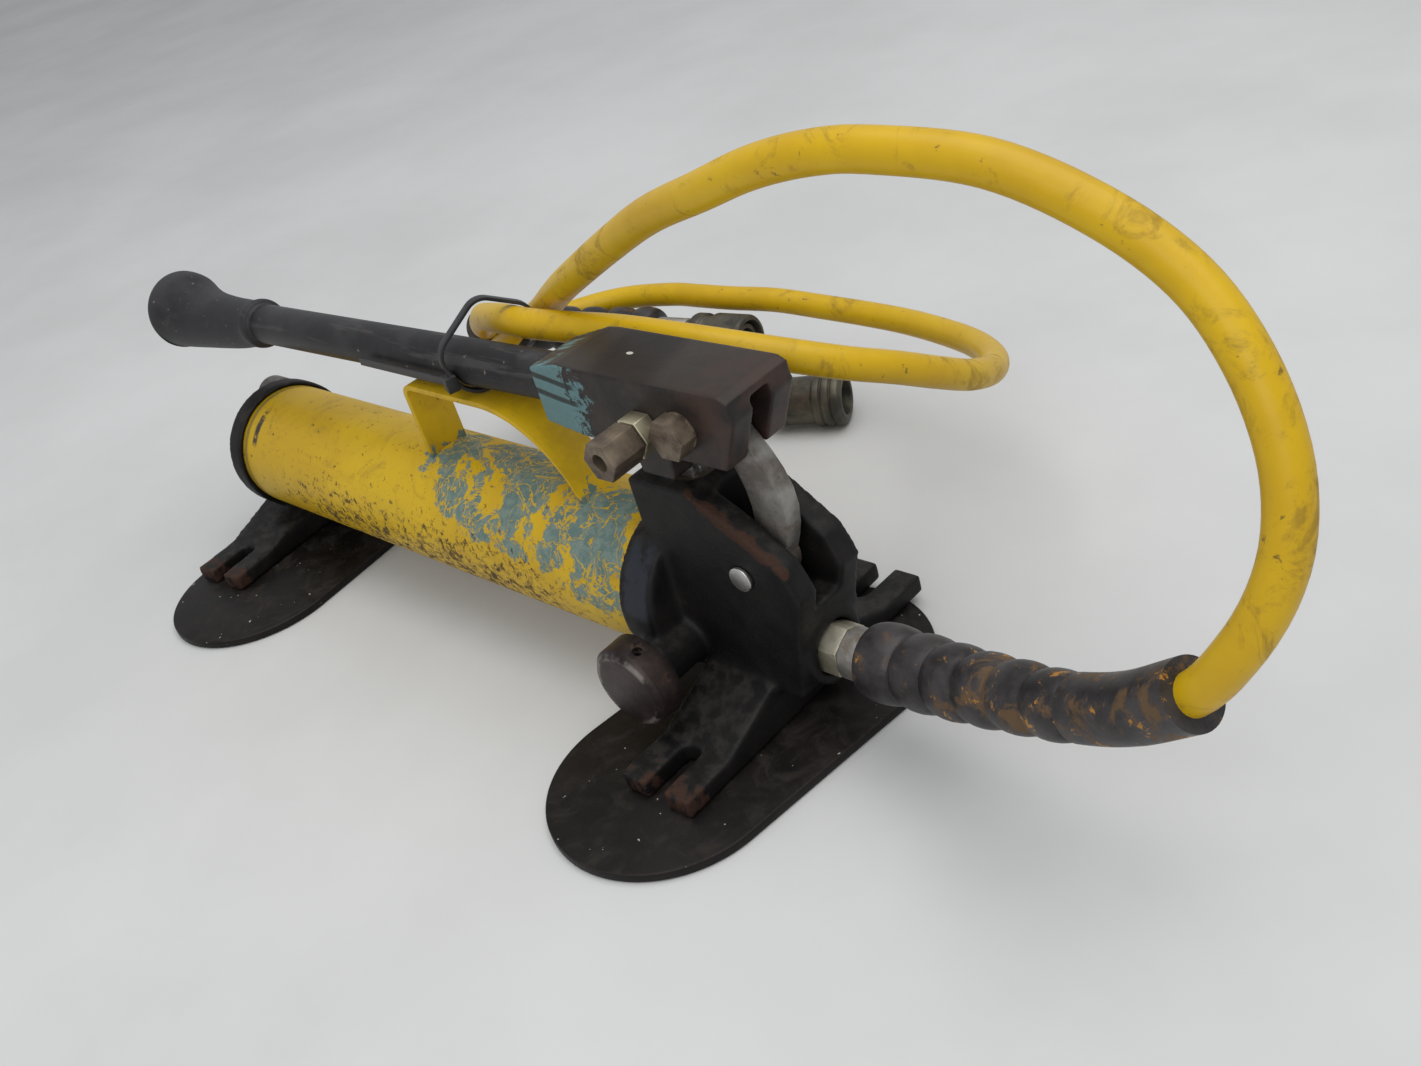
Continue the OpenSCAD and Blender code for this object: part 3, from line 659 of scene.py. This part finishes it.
# stations of the grip: distance back from its front, drop below the tube, radius, slant
grip = {
    "front": -361, "slope": -1.5, "bore": 11.75, "mouth": 6, "tubeRadius": 11.7, "sides": 64,
    "stations": [(0, 0, 13.4, 0), (0.6, 0, 14.1, 0), (1.6, 0, 14.5, 0), (4, 0.1, 14.8, 0),
                 (6.6, 0.3, 14.6, 0), (7.8, 0.4, 14.1, 0), (8.6, 0.6, 13.8, 0), (12, 1.0, 13.9, 0),
                 (17, 1.6, 14.2, 0), (30, 2.9, 15.3, 0), (42, 3.5, 15.9, 0),
                 (55, 3.9, 16.9, 0.05), (67, 4.1, 17.8, 0.15), (78, 3.9, 19.2, 0.28),
                 (88, 3.2, 20.8, 0.4), (97, 1.8, 22.6, 0.5), (103, 0.6, 24.1, 0.54),
                 (106, 0, 24.7, 0.54), (107.6, 0, 24.5, 0.54), (109, 0, 23.4, 0.54),
                 (110, 0, 21, 0.54), (110.5, 0, 16, 0.54), (110.6, 0, 4, 0.54)],
}


def addGrip(g):
    bpy.ops.object.select_all(action="DESELECT")
    bpy.ops.mesh.primitive_circle_add(vertices=g["sides"], radius=g["bore"] * mm, fill_type="NGON",
                                      location=(0, 0, g["mouth"] * mm))
    piece = bpy.context.object
    bpy.ops.object.mode_set(mode="EDIT")
    bpy.ops.mesh.select_all(action="SELECT")
    back, drop, radius = -g["mouth"], 0, g["bore"]  # the mouth is turned in round the tube
    for station in [(0, 0, g["bore"], 0)] + g["stations"]:
        bpy.ops.mesh.extrude_region_move(TRANSFORM_OT_translate={
            "value": ((station[1] - drop) * mm, 0, -(station[0] - back) * mm)})
        ratio = station[2] / radius
        bpy.ops.transform.resize(value=(ratio, ratio, 1))
        back, drop, radius = station[0], station[1], station[2]
    bpy.ops.mesh.select_all(action="SELECT")
    bpy.ops.mesh.normals_make_consistent(inside=False)
    bpy.ops.object.mode_set(mode="OBJECT")
    slants = [(s[0] * mm, s[3]) for s in g["stations"]]
    for v in piece.data.vertices:  # the rear end is cut aslant
        for (a, p), (b, q) in zip(slants, slants[1:]):
            if a <= -v.co.z <= b + 1e-6:
                v.co.z += v.co.x * -(p + (q - p) * (-v.co.z - a) / max(b - a, 1e-6))
                break
    smooth = piece.modifiers.new("smooth", "SUBSURF")
    smooth.levels = smooth.render_levels = 1
    applyAll(piece)
    slope = math.radians(g["slope"])
    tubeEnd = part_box("handle_tube")[1]
    height = (tubeEnd.z - (tubeEnd.x - g["front"] * mm) * math.tan(-slope)
              - g["tubeRadius"] * mm / math.cos(slope))
    forward = Vector((math.cos(slope), 0, -math.sin(slope)))
    downward = Vector((-math.sin(slope), 0, -math.cos(slope)))
    across = forward.cross(downward)
    axes = Matrix((downward, across, forward)).transposed().to_4x4()
    piece.matrix_world = Matrix.Translation((g["front"] * mm, 0, height)) @ axes
    return finished(piece, "gripSleeve", "handle", "grip", ("grip",), 60)


addGrip(grip)

reservoir = {"front": -43.2, "rear": -406.8, "radius": 38, "edge": 0.6, "rings": 24,
             "sides": 160}


def addReservoir(r):
    rear, front, radius, edge = (r[k] * mm for k in ("rear", "front", "radius", "edge"))
    rings = [(rear + (front - rear) * k / r["rings"], radius) for k in range(1, r["rings"])]
    profile = [(rear, radius - edge), (rear + edge, radius), *rings, (front - edge, radius),
               (front, radius - edge)]
    piece = turned(profile, r["sides"])
    low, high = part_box("reservoir_tube")
    aimed(piece, (0, 0, (low.z + high.z) / 2), (1, 0, 0))
    return finished(piece, "reservoirShell", "pump", "reservoir",
                    ("reservoir_tube",), 50)


addReservoir(reservoir)
eased("carry_strap", 0.7, "strap", 3)
print("reservoir, strap and grip made")

# Pieces that keep their CAD shape: the width of the eased edge in mm, and the look
easedPieces = {
    "base_plate_front": (0.9, "plate"), "base_plate_rear": (0.9, "plate"),
    "link": (1.1, "link"), "release_knob": (0.5, "knob"), "tie_rod_nut": (0.6, "bolt"),
    "tie_rod": (0.4, "bolt"), "fill_plug": (1.4, "plug"), "link_bolt": (0.7, "bolt"),
    "link_bolt_nut": (0.7, "bolt"), "plunger_bolt": (0.6, "bolt"),
    "plunger_jam_nut": (0.7, "zinc"), "outlet_adapter": (0.8, "adapter"),
    "hose_ferrule": (1.2, "ferrule"), "cable_tie": (0.3, "nylon"),
    "link_pin": (0.5, "bright"), "link_pin_clip": (0.3, "bolt"), "plunger": (0.4, "bright"),
    "plunger_gland": (0.5, "bolt"), "relief_plug": (0.5, "bolt"),
}
for node, (width, look) in easedPieces.items():
    eased(node, width, look, 3)
print("eased pieces made:", len(easedPieces))

# Hidden nodes keep their mesh and get a finish
hidden = {
    "bright": ["intake_tube", "intake_screen", "suction_ball", "suction_spring", "discharge_ball",
               "discharge_spring", "relief_ball", "relief_spring", "release_stem"],
    "seal": ["reservoir_seals", "plunger_seals", "release_seal"],
}
for look, names in hidden.items():
    for node in names:
        nodes[node].data.materials.clear()
        nodes[node].data.materials.append(looks[look])


# Floor and light
def addFloor():
    k = Look("floorStone", Specular_IOR_Level=0.25)
    cloud = k.noise(3, 5, 0.6)
    fine = k.noise(160, 4, 0.6)
    colour = k.mix(k.step(cloud, 0.3, 0.7), (0.555, 0.555, 0.545), (0.615, 0.615, 0.605))
    material = k.done(colour, 0.75, 0.0, fine, 0.05 * mm)
    bpy.ops.object.select_all(action="DESELECT")
    bpy.ops.mesh.primitive_plane_add(size=12, location=(0, 0, -0.3 * mm))
    floor = bpy.context.object
    floor.name = "floor"
    floor.data.materials.append(material)


lights = {
    "overhead": {"place": (0.25, 0.25, 2.2), "aim": (-0.1, 0, 0), "size": 2.2, "power": 32},
    "window": {"place": (0.9, -1.7, 1.5), "aim": (-0.1, 0, 0.1), "size": 1.6, "power": 17},
}
room = {"colour": (0.93, 0.96, 1.0, 1), "strength": 0.52}


def addLights():
    for name, c in lights.items():
        data = bpy.data.lights.new(name, "AREA")
        data.size = c["size"]
        data.energy = c["power"]
        lamp = bpy.data.objects.new(name, data)
        bpy.context.scene.collection.objects.link(lamp)
        lamp.location = c["place"]
        aim = Vector(c["place"]) - Vector(c["aim"])
        lamp.rotation_euler = aim.to_track_quat("Z", "Y").to_euler()
    world = bpy.data.worlds.new("softRoom")
    bpy.context.scene.world = world
    world.use_nodes = True
    sky = world.node_tree.nodes["Background"].inputs
    sky["Color"].default_value = room["colour"]
    sky["Strength"].default_value = room["strength"]


addFloor()
addLights()
bpy.context.scene.view_settings.view_transform = "Standard"
print("floor and light made")
